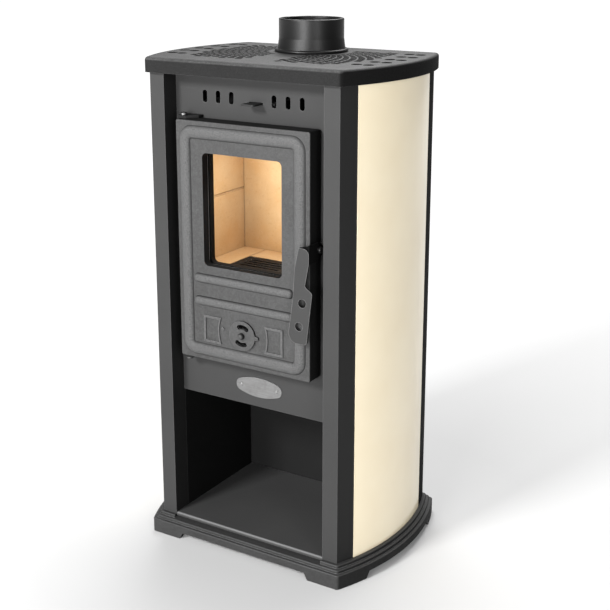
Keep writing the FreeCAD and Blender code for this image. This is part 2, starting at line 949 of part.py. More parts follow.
# Wires drawn from the same corners as the sketches
def corner_wire(corners):
    edges = []
    for index, corner in enumerate(corners):
        start = vector(corners[index - 1])
        end = vector(corner)
        curve = Part.LineSegment(start, end) if len(corner) == 2 else arc(start, end, corner[2].value)
        edges.append(curve.toShape())
    return Part.Wire(Part.__sortEdges__(edges))


def round_wire(x, y, radius):
    return Part.Wire(Part.makeCircle(radius.value, vector((x, y))))


# Pairs of round holes that follow each curved edge
def eyelet_wires(shift):
    wires = []
    for row in range(EYELET_ROWS):
        y = size.widest_behind + size.eyelet_pitch * (row - EYELET_ROWS_IN_FRONT)
        for step in (0, 1):
            x = side_x(y, size.top_overhang) - size.eyelet_edge_margin - size.eyelet_spacing * step
            wires += [round_wire(x * side, y - shift, size.eyelet_radius) for side in (-1, 1)]
    return wires


# Openwork: staggered rings of diamonds about the flue, on both sides of a plain middle band
def grille_wires():
    wires = []
    ring_count = int((size.grille_reach.value - size.grille_start.value) / size.grille_step.value) + 1
    for ring in range(ring_count):
        radius = size.grille_start + size.grille_step * ring
        stagger = (ring % 2) / 2
        for column in range(int(size.grille_sweep_angle.value / size.grille_pitch_angle.value)):
            angle = size.grille_pitch_angle * (column + stagger)
            if in_field(radius, angle):
                wires += [corner_wire(diamond(radius, angle * side)) for side in (-1, 1)]
    return wires


# Half width of a diamond, a share of the space that its ring gives it
def diamond_half_width(radius):
    return radius * size.grille_pitch_angle * math.pi / HALF_TURN * size.grille_hole_half_width_share


def diamond(radius, angle):
    half = diamond_half_width(radius)
    corners = []
    for along, side in ((0, 1), (1, 0), (0, -1), (-1, 0)):
        out = radius + size.grille_hole_half_length * along
        x = sine(angle) * out + cosine(angle) * half * side
        y = sine(angle) * half * side - cosine(angle) * out
        corners.append((x, y))
    return corners


# True where a diamond lies inside the field: clear of the band, the front, the back and the side holes
def in_field(radius, angle):
    half = diamond_half_width(radius).value
    reach = size.grille_hole_half_length.value
    x = radius.value * sine(angle).value
    y = size.flue_behind.value - radius.value * cosine(angle).value
    edge = back.value + size.top_overhang.value - size.grille_front_margin.value
    side = side_x(as_size(y), size.top_overhang).value - size.grille_side_margin.value
    return x - half > size.grille_band_half_width.value and x + half < side and abs(y) + reach < edge


def make_flue_collar():
    body = new_body("flue_collar")
    tail = size.casing_top + size.top_height - size.fire_top
    ring = size.flue_ring_height
    top = size.flue_stand
    land = top - size.flue_land_length
    lip = size.flue_lip_round
    swell = ring / 2
    sketch = new_sketch(body, "XZ")
    outline(sketch, [
        (size.flue_bore_radius, -tail), (size.flue_tail_radius, -tail), (size.flue_tail_radius, 0),
        (size.flue_ring_radius - swell, 0), (size.flue_ring_radius, swell, swell),
        (size.flue_ring_radius - swell, ring, swell), (size.flue_root_radius, ring),
        (size.flue_land_radius, land), (size.flue_land_radius, top - lip),
        (size.flue_land_radius - lip, top, lip), (size.flue_bore_radius + lip, top),
        (size.flue_bore_radius, top - lip, lip),
    ])
    revolve(body, sketch)
    place(body, y=size.flue_behind, z=top_level)


# Door casting and what is fixed to it. Each body's own Y is zero on the door's front face.

def window(inset=0):
    return rounded(
        -size.window_half_width - inset, size.window_bottom - inset,
        size.window_half_width + inset, size.window_top + inset, size.window_radius + inset,
    )


def make_door():
    body = new_body("door_casting")
    half = size.door_half_width
    low, high = size.door_bottom, size.door_top
    edge = size.door_corner_round
    rim = size.door_rim

    sketch = new_sketch(body, "XZ")
    outline(sketch, rounded(-half, low, half, high, edge))
    pad(body, sketch, size.door_plate, reverse=True)
    round_edges(body, size.door_edge_round, on_plane("y", 0))

    sketch = new_sketch(body, "XZ", -size.door_plate)
    outline(sketch, rounded(-half, low, half, high, edge))
    outline(sketch, rectangle(-half + rim, low + rim, half - rim, high - rim))
    pad(body, sketch, size.door_rim_depth - size.door_plate, reverse=True)

    # Raised wall round the window, and four posts that take the retainer's screws
    sketch = new_sketch(body, "XZ", -size.door_plate)
    outline(sketch, window(size.window_collar_wall))
    pad(body, sketch, size.window_collar_depth - size.door_plate, reverse=True)
    sketch = new_sketch(body, "XZ", -size.door_plate)
    for x, z in retainer_spots():
        circle(sketch, x, z, size.retainer_boss_radius)
    pad(body, sketch, glass_back - size.door_plate, reverse=True)
    sketch = new_sketch(body, "XZ")
    outline(sketch, window())
    pocket(body, sketch, size.window_collar_depth + size.overrun)
    sketch = new_sketch(body, "XZ", -glass_back)
    for x, z in retainer_spots():
        circle(sketch, x, z, size.retainer_screw_radius)
    pocket(body, sketch, size.retainer_screw_reach, reverse=True)

    # Bosses for the hinge pins at the top and bottom of the left edge, then their bores
    bore = size.hinge_pin_radius + size.hinge_pin_clearance
    for level, upward in ((high, True), (low, False)):
        sketch = new_sketch(body, "XY", level)
        circle(sketch, hinge_x, size.hinge_set_back, size.hinge_boss_radius)
        pad(body, sketch, size.hinge_boss_length, reverse=upward)
        sketch = new_sketch(body, "XY", level)
        circle(sketch, hinge_x, size.hinge_set_back, bore)
        pocket(body, sketch, size.hinge_pin_reach + size.overrun, reverse=not upward)

    # Boss and bore for the lever's bolt, in the right edge
    sketch = new_sketch(body, "YZ", half - rim)
    circle(sketch, size.lever_pivot_set_back, size.lever_pivot_level, size.lever_boss_radius)
    pad(body, sketch, size.lever_boss_length, reverse=True)
    sketch = new_sketch(body, "YZ", half)
    circle(sketch, size.lever_pivot_set_back, size.lever_pivot_level, size.lever_bolt_radius)
    pocket(body, sketch, rim + size.lever_boss_length)

    # Relief: a half-round bead carried round the door, and two half-round bars with domed ends
    middle = size.bead_inset + size.bead_width / 2
    spine = new_sketch(body, "XZ")
    bend = size.bead_corner_radius - size.bead_width / 2
    outline(spine, rounded(-half + middle, low + middle, half - middle, high - middle, bend))
    sketch = new_sketch(body, "YZ")
    outline(sketch, half_round(low + middle, size.bead_width, size.bead_height))
    sweep(body, sketch, spine)
    for level in (size.bar_upper_level, size.bar_lower_level):
        start = size.bar_shift - size.bar_half_length + size.bar_width / 2
        stop = size.bar_shift + size.bar_half_length - size.bar_width / 2
        sketch = new_sketch(body, "YZ", start)
        outline(sketch, half_round(level, size.bar_width, size.bar_height))
        pad(body, sketch, stop - start)
        for end in (start, stop):
            sketch = new_sketch(body, "YZ", end, rise=level)
            outline(sketch, dome(size.bar_width, size.bar_height))
            revolve(body, sketch, "H_Axis")

    # Two embossed frames whose sides are hollowed towards the rosette, and the rosette's stop
    sketch = new_sketch(body, "XZ")
    for side in (-1, 1):
        outline(sketch, emboss(side, 0))
        outline(sketch, emboss(side, size.emboss_line))
    circle(sketch, -size.nub_distance, size.rosette_level + size.nub_rise, size.nub_radius)
    pad(body, sketch, size.emboss_height)

    # Air holes under the rosette and the hole for its screw
    sketch = new_sketch(body, "XZ")
    for turn in (0, HALF_TURN):
        outline(sketch, kidney(size.rosette_level, turn))
    circle(sketch, 0, size.rosette_level, size.rosette_screw_radius)
    pocket(body, sketch, size.door_plate)
    place(body, y=door_front)


# Radius of the arc that spans a width and rises by a height
def bow(width, height):
    return (width * width / 4 + height * height) / (height * 2)


# Section of a raised bead at a level, sunk a little into the plate that carries it
def half_round(level, width, height):
    low = level - width / 2
    high = level + width / 2
    return [(size.overrun, low), (size.overrun, high), (0, high), (0, low, bow(width, height))]


# Half of such a section about zero, to be turned into the domed end of a bar
def dome(width, height):
    return [(size.overrun, 0), (size.overrun, width / 2), (0, width / 2), (-height, 0, bow(width, height))]


# Outline of an embossed frame; the side next to the rosette is hollow
def emboss(side, inset):
    near = (size.emboss_inner + inset) * side
    far = (size.emboss_outer - inset) * side
    half = size.emboss_half_height - inset
    low = size.rosette_level - half
    high = size.rosette_level + half
    return [(near, low, (size.emboss_hollow_radius + inset) * -side), (far, low), (far, high), (near, high)]


# One of the two air slots: part of a ring about the rosette's middle with bulging ends
def kidney(level, turn):
    middle = size.rosette_slot_radius
    half = size.rosette_slot_half_width
    spread = size.rosette_slot_half_angle
    start = size.rosette_slot_turn_angle + turn - spread
    stop = size.rosette_slot_turn_angle + turn + spread
    cap = half * KIDNEY_CAP_SHARE
    spots = []
    for radius, angle, bend in (
        (middle + half, start, cap), (middle + half, stop, middle + half),
        (middle - half, stop, cap), (middle - half, start, half - middle),
    ):
        spots.append((radius * cosine(angle), level + radius * sine(angle), bend))
    return spots


# Screw positions of the glass retainer, beside the glass
def retainer_spots():
    beside = size.window_half_width + size.glass_lap + size.retainer_boss_gap + size.retainer_boss_radius
    low = size.window_bottom + size.retainer_screw_margin
    high = size.window_top - size.retainer_screw_margin
    return [(x, z) for x in (-beside, beside) for z in (low, high)]


def make_glazing():
    lap = size.glass_lap
    half = size.window_half_width + lap
    low = size.window_bottom - lap
    high = size.window_top + lap

    gasket = new_body("glass_gasket")
    sketch = new_sketch(gasket, "XZ", -size.window_collar_depth)
    outline(sketch, rectangle(-half, low, half, high))
    outline(sketch, window())
    pad(gasket, sketch, size.gasket, reverse=True)
    place(gasket, y=door_front)

    block("door_glass", (-half, door_front + glass_front, low), (half, door_front + glass_back, high))

    # Sheet frame behind the glass, with a turned-back collar round the window
    frame = new_body("glass_retainer")
    wide = half + size.retainer_boss_gap + size.retainer_boss_radius * 2
    sketch = new_sketch(frame, "XZ", -glass_back)
    outline(sketch, rectangle(-wide, low, wide, high))
    outline(sketch, window())
    for x, z in retainer_spots():
        circle(sketch, x, z, size.retainer_screw_radius + size.hinge_pin_clearance)
    pad(frame, sketch, size.retainer_sheet, reverse=True)
    sketch = new_sketch(frame, "XZ", -glass_back)
    outline(sketch, window(size.retainer_sheet))
    outline(sketch, window())
    pad(frame, sketch, size.retainer_tunnel, reverse=True)
    place(frame, y=door_front)

    screws = new_body("retainer_screws")
    seat = glass_back + size.retainer_sheet
    sketch = new_sketch(screws, "XZ", -seat)
    for x, z in retainer_spots():
        circle(sketch, x, z, size.retainer_head_radius)
    pad(screws, sketch, size.retainer_head_height, reverse=True)
    sketch = new_sketch(screws, "XZ", -seat)
    for x, z in retainer_spots():
        circle(sketch, x, z, size.retainer_screw_radius)
    pad(screws, sketch, size.retainer_sheet + size.retainer_screw_reach)
    place(screws, y=door_front)


def make_rope_seal():
    body = new_body("door_rope_seal")
    rim = size.door_rim
    inner = rim + size.rope
    half, low, high = size.door_half_width, size.door_bottom, size.door_top
    sketch = new_sketch(body, "XZ", -size.rope_seat_depth)
    outline(sketch, rectangle(-half + rim, low + rim, half - rim, high - rim))
    outline(sketch, rounded(-half + inner, low + inner, half - inner, high - inner, size.rope_round))
    pad(body, sketch, rope_depth, reverse=True)
    round_edges(body, size.rope_round, on_plane("y", size.rope_seat_depth + rope_depth))
    place(body, y=door_front)


def make_hinges():
    nose = size.hinge_bracket_nose
    thick = size.hinge_bracket
    upper = size.door_top + size.hinge_gap
    lower = size.door_bottom - size.hinge_gap - thick
    for name, level in (("upper", upper), ("lower", lower)):
        body = new_body(f"hinge_bracket_{name}")
        sketch = new_sketch(body, "XY")
        outline(sketch, [
            (hinge_x - nose, hinge_y - nose), (hinge_x + nose, hinge_y - nose),
            (hinge_x + size.hinge_bracket_reach, panel_front - size.hinge_bracket_root),
            (hinge_x + size.hinge_bracket_reach, panel_front), (hinge_x - nose, panel_front),
        ])
        circle(sketch, hinge_x, hinge_y, size.hinge_pin_radius + size.hinge_pin_clearance)
        pad(body, sketch, thick)
        place(body, z=level)

    pins = new_body("hinge_pins")
    run = thick + size.hinge_gap + size.hinge_pin_reach
    for level, upward in ((upper + thick, True), (lower, False)):
        sketch = new_sketch(pins, "XY", level)
        circle(sketch, hinge_x, hinge_y, size.hinge_head_radius)
        pad(pins, sketch, size.hinge_head_height, reverse=not upward)
        sketch = new_sketch(pins, "XY", level)
        circle(sketch, hinge_x, hinge_y, size.hinge_pin_radius)
        pad(pins, sketch, run, reverse=upward)
    tips = (upper + thick + size.hinge_head_height, lower - size.hinge_head_height)
    tests = [on_plane("z", tip) for tip in tips]
    round_edges(pins, size.hinge_head_round, lambda point: any(test(point) for test in tests))


def make_rosette():
    disc = new_body("air_rosette")
    sketch = new_sketch(disc, "XZ", size.rosette_gap)
    circle(sketch, 0, 0, size.rosette_radius)
    circle(sketch, 0, 0, size.rosette_screw_radius + size.hinge_pin_clearance)
    for turn in (0, HALF_TURN):
        outline(sketch, kidney(0, turn))
    pad(disc, sketch, size.rosette_plate)
    sketch = new_sketch(disc, "XZ", size.rosette_gap)
    reach = size.rosette_pointer_reach
    half = size.rosette_pointer_half_width
    root_x = size.rosette_radius - half
    outline(sketch, [(root_x, -half), (reach, -half / 2), (reach, half / 2), (root_x, half)])
    pad(disc, sketch, size.rosette_plate)
    place(disc, y=door_front, z=size.rosette_level)

    # Screw through the door with a domed nut in front and a flat one behind
    screw = new_body("rosette_screw")
    seat = size.rosette_gap * 2 + size.rosette_plate
    sketch = new_sketch(screw, "XZ", seat)
    circle(sketch, 0, 0, size.rosette_nut_radius)
    pad(screw, sketch, size.rosette_nut_height)
    crown = smaller(size.rosette_nut_radius, size.rosette_nut_height) * DOME_SHARE
    round_edges(screw, crown, on_plane("y", -seat - size.rosette_nut_height))
    sketch = new_sketch(screw, "XZ", seat)
    circle(sketch, 0, 0, size.rosette_screw_radius)
    pad(screw, sketch, seat + size.door_plate, reverse=True)
    sketch = new_sketch(screw, "XZ", -size.door_plate)
    circle(sketch, 0, 0, size.rosette_nut_radius)
    pad(screw, sketch, size.rosette_washer, reverse=True)
    place(screw, y=door_front, z=size.rosette_level)


def make_lever():
    lever = new_body("handle_lever")
    face = size.lever_stand + size.lever_sheet
    level = size.lever_pivot_level
    top = level + size.lever_top_rise
    bottom = level - size.lever_length
    flange_low = level - size.lever_flange_drop
    flange_high = level + size.lever_flange_rise
    bend = size.lever_top_round
    tip = lever_outer - size.lever_top_width
    sketch = new_sketch(lever, "XZ", size.lever_stand)
    outline(sketch, [
        (lever_outer - size.lever_toe_inset, bottom, size.lever_tail_round),
        (lever_outer - size.lever_heel_inset, bottom),
        (lever_outer + size.lever_shoulder_outset, bottom + size.lever_shoulder_rise),
        (lever_outer - size.lever_neck_inset, bottom + size.lever_neck_rise),
        (lever_outer, flange_low), (lever_outer, top - bend),
        (lever_outer - bend, top, bend), (tip, top),
        (lever_outer - size.lever_brow_inset, bottom + size.lever_brow_rise),
        (lever_outer - size.lever_waist_inset, bottom + size.lever_waist_rise),
        (lever_outer - size.lever_tail_inset, bottom + size.lever_tail_rise),
    ])
    pad(lever, sketch, size.lever_sheet)
    limit = flange_low.value
    middle = (lever_outer - size.lever_hole_inset).value
    round_edges(lever, size.lever_corner_round, lambda point: point.z < limit and point.x > middle, along="y")
    sketch = new_sketch(lever, "XZ", size.lever_stand)
    for shift, rise in ((0, size.lever_hole_upper_rise), (size.lever_hole_shift, size.lever_hole_lower_rise)):
        circle(sketch, lever_outer - size.lever_hole_inset - shift, bottom + rise, size.lever_hole_radius)
    pocket(lever, sketch, size.lever_sheet, reverse=True)

    # Side flange bent back past the door's edge to the pivot, ending in the latch nose
    turn = size.lever_pivot_set_back
    nose = size.lever_nose_half_height
    sketch = new_sketch(lever, "YZ", lever_inner)
    outline(sketch, [
        (-face, flange_low), (turn, flange_low),
        (turn + size.lever_nose_reach, level - nose), (turn + size.lever_nose_reach, level + nose),
        (turn + nose, level + nose), (turn, flange_high),
        (-size.lever_stand, flange_high), (-face, top - bend),
    ])
    circle(sketch, turn, level, size.lever_bolt_radius + size.hinge_pin_clearance)
    pad(lever, sketch, size.lever_sheet)

    # Hood that joins the flange's upper edge to the pointed corner of the plate
    sketch = new_sketch(lever, "XZ", size.lever_stand)
    outline(sketch, [(lever_outer, flange_low), (lever_outer, flange_high), (tip, top)])
    pad(lever, sketch, size.lever_hood, reverse=True)
    place(lever, y=door_front)

    bolt = new_body("lever_bolt")
    collar = size.lever_side_gap - size.lever_play
    seat = lever_outer + size.lever_play
    sketch = new_sketch(bolt, "YZ", size.door_half_width)
    circle(sketch, turn, level, size.lever_bolt_head_radius)
    pad(bolt, sketch, collar)
    sketch = new_sketch(bolt, "YZ", seat)
    circle(sketch, turn, level, size.lever_bolt_radius)
    pad(bolt, sketch, seat - size.door_half_width + size.door_rim + size.lever_boss_length, reverse=True)
    sketch = new_sketch(bolt, "YZ", seat)
    circle(sketch, turn, level, size.lever_bolt_head_radius)
    pad(bolt, sketch, size.lever_bolt_head_height)
    round_edges(bolt, size.lever_play, on_plane("x", seat + size.lever_bolt_head_height))
    place(bolt, y=door_front)


def make_keeper():
    body = new_body("latch_keeper")
    wall = size.keeper_sheet
    near = lever_outer + size.keeper_gap
    level = size.lever_pivot_level
    sketch = new_sketch(body, "XY", level - size.keeper_half_height)
    outline(sketch, [
        (near, panel_front - size.keeper_reach), (near + wall, panel_front - size.keeper_reach),
        (near + wall, panel_front - wall), (near + size.keeper_foot, panel_front - wall),
        (near + size.keeper_foot, panel_front), (near, panel_front),
    ])
    pad(body, sketch, size.keeper_half_height * 2)

    # Peg over the latch nose
    peg = size.keeper_pin_radius
    peg_level = level + size.lever_nose_half_height + size.keeper_pin_gap + peg
    sketch = new_sketch(body, "YZ", near)
    circle(sketch, panel_front - size.keeper_reach + peg, peg_level, peg)
    pad(body, sketch, size.keeper_gap + size.lever_sheet, reverse=True)


def make_badge():
    body = new_body("badge_plate")
    half, rise, end = size.badge_half_length, size.badge_half_height, size.badge_end_radius
    middle = half - end
    sweep = (middle * middle + rise * rise - end * end) / ((rise - end) * 2)
    meet_x = middle + end * middle / (sweep - end)
    meet_z = end * (sweep - rise) / (sweep - end)
    sketch = new_sketch(body, "XZ")
    outline(sketch, [
        (meet_x, -meet_z, sweep), (meet_x, meet_z, end), (-meet_x, meet_z, sweep), (-meet_x, -meet_z, end),
    ])
    pad(body, sketch, size.badge_sheet)
    place(body, x=size.badge_shift, y=panel_front, z=size.badge_level)

    rivets = new_body("badge_rivets")
    sketch = new_sketch(rivets, "XZ", size.badge_sheet)
    for side in (-1, 1):
        circle(sketch, size.rivet_spacing / 2 * side, 0, size.rivet_radius)
    pad(rivets, sketch, size.rivet_height)
    crown = size.rivet_height * DOME_SHARE
    round_edges(rivets, crown, on_plane("y", -size.badge_sheet - size.rivet_height))
    place(rivets, x=size.badge_shift, y=panel_front, z=size.badge_level)


def make_air_control():
    slide = new_body("air_slide")
    half = size.slide_half_width
    stop = panel_back + size.slide_stop_gap
    tab = size.tab_half_width
    tip = panel_front - size.tab_reach
    corner = size.tab_corner_round
    sketch = new_sketch(slide, "XY")
    outline(sketch, [
        (-tab + corner, tip, corner), (tab - corner, tip), (tab, tip + corner, corner), (tab, stop),
        (half, stop), (half, stop + size.slide_depth), (-half, stop + size.slide_depth),
        (-half, stop), (-tab, stop), (-tab, tip + corner),
    ])
    pad(slide, sketch, size.slide_sheet)
    place(slide, x=size.slide_shift, z=slide_bottom)

    # Folded duct on the firebox, with lips that guide the slide
    duct = new_body("air_duct")
    wall = size.duct_sheet
    inner = half + size.slide_play
    wide = inner + wall
    deck = slide_bottom - size.slide_play - size.fire_top
    lip = size.slide_level + size.slide_play - size.fire_top
    grip = inner - size.duct_guide
    right = [
        (inner, deck - wall), (inner, 0), (wide, 0), (wide, lip + wall),
        (grip, lip + wall), (grip, lip), (inner, lip), (inner, deck),
    ]
    left = [(-x, z) for x, z in reversed(right)]
    sketch = new_sketch(duct, "XZ")
    outline(sketch, right + left)
    pad(duct, sketch, size.duct_depth, reverse=True)
    sketch = new_sketch(duct, "XY", deck)
    length = size.duct_hole_length / 2
    for side in (-1, 1):
        low_y = size.duct_depth / 2 + size.duct_hole_spacing / 2 * side
        outline(sketch, rectangle(-length, low_y, length, low_y + size.duct_hole_width))
    pocket(duct, sketch, wall + size.overrun)
    place(duct, x=size.slide_shift, y=fire_front, z=size.fire_top)


# Every feature must have worked, and every cut must have removed something.
def check_document():
    for item in doc.Objects:
        if any(word in item.State for word in ("Invalid", "Error")):
            raise RuntimeError(f"{item.Label} failed: {item.State}")
        if item.TypeId == "PartDesign::Pocket" and item.Shape.Volume >= item.BaseFeature.Shape.Volume:
            raise RuntimeError(f"{item.Label} cuts nothing")
    for node in nodes:
        if node.Shape.isNull() or not node.Shape.isValid():
            raise RuntimeError(f"{node.Label} has no valid shape")


def write_nodes():
    os.makedirs(PART_FOLDER, exist_ok=True)
    for node in nodes:
        node.Shape.exportStep(f"{PART_FOLDER}/{node.Label}.step")


make_base()
make_posts()
make_side_panels()
make_casing_back()
make_front_panel()
make_wood_store()
make_firebox()
make_fire_lining()
make_grate()
make_ash_pan()
make_top_plate()
make_flue_collar()
make_door()
make_glazing()
make_rope_seal()
make_hinges()
make_rosette()
make_lever()
make_keeper()
make_badge()
make_air_control()
doc.recompute()
check_document()
write_nodes()
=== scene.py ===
import json
import bpy
import numpy as np
from mathutils import Matrix, Vector


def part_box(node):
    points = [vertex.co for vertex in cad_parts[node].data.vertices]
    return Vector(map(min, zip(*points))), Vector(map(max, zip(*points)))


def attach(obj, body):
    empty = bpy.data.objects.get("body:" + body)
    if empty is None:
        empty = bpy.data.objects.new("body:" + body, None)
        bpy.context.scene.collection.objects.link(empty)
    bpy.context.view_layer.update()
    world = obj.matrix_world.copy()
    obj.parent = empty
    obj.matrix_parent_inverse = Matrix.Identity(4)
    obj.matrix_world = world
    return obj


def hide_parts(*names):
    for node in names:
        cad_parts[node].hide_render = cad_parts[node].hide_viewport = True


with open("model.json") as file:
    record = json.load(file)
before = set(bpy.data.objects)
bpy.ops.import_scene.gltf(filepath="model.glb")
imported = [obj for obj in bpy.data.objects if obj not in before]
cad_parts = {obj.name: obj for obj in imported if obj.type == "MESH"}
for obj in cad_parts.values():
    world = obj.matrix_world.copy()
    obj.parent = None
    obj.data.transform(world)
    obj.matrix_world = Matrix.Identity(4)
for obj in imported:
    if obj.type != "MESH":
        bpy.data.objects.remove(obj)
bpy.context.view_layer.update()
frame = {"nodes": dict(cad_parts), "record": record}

nodes = frame["nodes"]
print("stove frame loaded:", len(nodes), "nodes")


# a shader socket that can be added, multiplied and so on
class Wire:
    def __init__(self, finish, socket):
        self.finish = finish
        self.socket = socket

    def maths(self, operation, first, second=0.0):
        return self.finish.node("ShaderNodeMath", {"operation": operation}, {0: first, 1: second})

    def __add__(self, other):
        return self.maths("ADD", self, other)

    def __radd__(self, other):
        return self.maths("ADD", other, self)

    def __sub__(self, other):
        return self.maths("SUBTRACT", self, other)

    def __rsub__(self, other):
        return self.maths("SUBTRACT", other, self)

    def __mul__(self, other):
        return self.maths("MULTIPLY", self, other)

    def __rmul__(self, other):
        return self.maths("MULTIPLY", other, self)

    def __pow__(self, other):
        return self.maths("POWER", self, other)

    def __rpow__(self, other):
        return self.maths("POWER", other, self)

    def __abs__(self):
        return self.maths("ABSOLUTE", self)


# a Principled material whose nodes all come from one method
class Finish:
    bevelSamples = 6

    def __init__(self, name, **constants):
        self.material = bpy.data.materials.new(name)
        self.material.use_nodes = True
        self.tree = self.material.node_tree
        self.shader = self.tree.nodes["Principled BSDF"]
        for socket, value in constants.items():
            self.shader.inputs[socket.replace("_", " ")].default_value = value
        self.place = self.node("ShaderNodeTexCoord", {}, {}, "Object")

    def node(self, kind, settings, sockets, output=0):  # type, then settings, then sockets
        item = self.tree.nodes.new(kind)
        for key, value in settings.items():
            setattr(item, key, value)
        for key, value in sockets.items():
            if isinstance(value, Wire):
                self.tree.links.new(value.socket, item.inputs[key])
            else:
                item.inputs[key].default_value = value
        return Wire(self, item.outputs[output])

    def axis(self, index):  # 0, 1, 2 for the stove's X, Y, Z in metres
        return self.node("ShaderNodeSeparateXYZ", {}, {0: self.place}, index)

    def noise(self, scale, detail, roughness, stretch=None):
        spot = self.place
        if stretch:
            spot = self.node("ShaderNodeMapping", {}, {"Vector": spot, "Scale": stretch})
        return self.node("ShaderNodeTexNoise", {}, {
            "Vector": spot, "Scale": scale, "Detail": detail, "Roughness": roughness})

    # start at low, stop at high, straight between; most of a noise lies between the low and high given here
    def span(self, value, low=0.3, high=0.7, start=0.0, stop=1.0):
        return self.node("ShaderNodeMapRange", {"clamp": True}, {
            "Value": value, "From Min": low, "From Max": high, "To Min": start, "To Max": stop})

    def mix(self, factor, first, second):  # a Mix node's colours are its sockets 6 and 7 and its output 2
        return self.node("ShaderNodeMix", {"data_type": "RGBA"}, {0: factor, 6: first, 7: second}, 2)

    def dot(self, first, second):
        return self.node("ShaderNodeVectorMath", {"operation": "DOT_PRODUCT"}, {0: first, 1: second}, "Value")

    def rounded(self, radius):
        return self.node("ShaderNodeBevel", {"samples": self.bevelSamples}, {"Radius": radius})

    # 1 where a face looks along the weighted axes, 0 on flanks that look across them; the finishes use it to
    # paint flanks darker, a painted shade
    def facing(self, weights, low=0.45, high=0.85):
        turn = self.node("ShaderNodeTexCoord", {}, {}, "Normal")
        size = self.node("ShaderNodeVectorMath", {"operation": "ABSOLUTE"}, {0: turn})
        return self.span(self.dot(size, weights), low, high)

    # 1 along edges within the radius, 0 on flat faces: how far a rounded normal leans from the true one
    def edges(self, radius, low=0.02, high=0.22):
        true = self.node("ShaderNodeNewGeometry", {}, {}, "Normal")
        return self.span(1 - self.dot(self.rounded(radius), true), low, high)

    def bump(self, height, strength, distance, radius):
        return self.node("ShaderNodeBump", {}, {
            "Height": height, "Strength": strength, "Distance": distance, "Normal": self.rounded(radius)})

    def feed(self, **wires):
        for socket, wire in wires.items():
            self.tree.links.new(wire.socket, self.shader.inputs[socket.replace("_", " ")])
        return self.material


def grey(level, warm=0.0):
    return (level * (1 + warm), level, level * (1 - warm), 1)


# In every dial a noise is scale, detail and roughness, a range is the part of a noise that shows, a share is
# how strongly it shows, a shade given as one number multiplies the finish's level, and lengths are metres.

# matt stove paint over sand-cast iron: blotched grey, sandy grain, flanks painted darker as painted shade,
# edges and crowns paler as partly wear and partly painted highlight, shade zones painted near black
castDial = {
    "cloud": (9, 4, 0.6), "cloudDark": 0.8, "cloudWarm": 0.01, "cloudPale": 1.1,
    "blotch": (230, 4, 0.65), "blotchRange": (0.42, 0.68), "blotchShare": 0.45, "blotchShade": 2.2,
    "sand": (620, 4, 0.62), "sandRange": (0.50, 0.70), "sandShare": 0.55, "sandShade": 3.2,
    "crestRange": (0.35, 0.6), "crestWearAndHighlightShade": 2.2, "flankPaintedShade": 0.12, "wearAndHighlightShade": 5.0, "paintedShadeTone": 0.003,
    "blotchRough": 0.07, "wearRough": -0.1, "flankRough": 0.4, "paintedShadeRough": 0.35,
    "pits": (1500, 2, 0.5), "sandHeight": 0.45, "blotchHeight": 0.4, "pitHeight": 0.15,
    "bump": 0.55, "depth": 0.0011, "rounding": 0.6,
}


def castFinish(name, level, wearAndHighlight=0.5, rough=0.55, grain=1.0, paintedShadeZone=None, front=(0, 1, 1), gloss=0.4,
               crestWearAndHighlight=None, edgeSize=0.0012):
    dial = castDial
    skin = Finish(name, Specular_IOR_Level=gloss)
    sand = skin.noise(*dial["sand"])
    pits = skin.noise(*dial["pits"])
    blotch = skin.noise(*dial["blotch"])
    cloud = skin.noise(*dial["cloud"])
    edge = skin.edges(edgeSize)
    face = skin.facing(front)
    dark = grey(level * dial["cloudDark"], dial["cloudWarm"])
    shade = skin.mix(skin.span(cloud), dark, grey(level * dial["cloudPale"]))
    spots = skin.span(blotch, *dial["blotchRange"]) * dial["blotchShare"] * grain
    shade = skin.mix(spots, shade, grey(level * dial["blotchShade"]))
    specks = skin.span(sand, *dial["sandRange"]) * dial["sandShare"] * grain
    shade = skin.mix(specks, shade, grey(level * dial["sandShade"]))
    # crowns painted paler: partly rubbed wear, partly painted highlight
    if crestWearAndHighlight:
        rubbedAndHighlit = crestWearAndHighlight(skin) * skin.span(sand, *dial["crestRange"])
        shade = skin.mix(rubbedAndHighlit, shade, grey(level * dial["crestWearAndHighlightShade"]))
    # painted shade: faces that look across the front weights are painted darker
    shade = skin.mix(face, grey(level * dial["flankPaintedShade"]), shade)
    # edges painted paler: partly wear, partly painted highlight
    shade = skin.mix(edge * wearAndHighlight, shade, grey(level * dial["wearAndHighlightShade"]))
    rough = rough + skin.span(blotch, start=-dial["blotchRough"], stop=dial["blotchRough"])
    rough = rough + edge * dial["wearRough"] + (1 - face) * dial["flankRough"]
    # painted shade: the zone is painted near black and made rougher
    if paintedShadeZone:
        paintedShadeMask = paintedShadeZone(skin)
        shade = skin.mix(paintedShadeMask, shade, grey(dial["paintedShadeTone"]))
        rough = rough + paintedShadeMask * dial["paintedShadeRough"]
    height = sand * dial["sandHeight"] + blotch * dial["blotchHeight"] + pits * dial["pitHeight"]
    bump = skin.bump(height, dial["bump"] * grain, dial["depth"], edgeSize * dial["rounding"])
    return skin.feed(Base_Color=shade, Roughness=rough, Normal=bump)


# the door's face and window, and how far proud of the face the rubbed tone begins and is full
doorDial = {
    "face": -0.163, "half": 0.082, "low": 0.547, "high": 0.750, "lap": 0.0012, "rise": 0.0012, "full": 0.0021,
}


# painted shade: the reveal between the door's face and its glass is painted black
def windowReveal(skin):
    lap = doorDial["lap"]
    across = skin.span(abs(skin.axis(0)), doorDial["half"] + lap, doorDial["half"] + lap / 2)
    above = skin.span(skin.axis(2), doorDial["low"] - lap, doorDial["low"] - lap / 2)
    below = skin.span(skin.axis(2), doorDial["high"] + lap, doorDial["high"] + lap / 2)
    behind = skin.span(skin.axis(1), doorDial["face"] + lap / 4, doorDial["face"] + lap)
    return across * above * below * behind


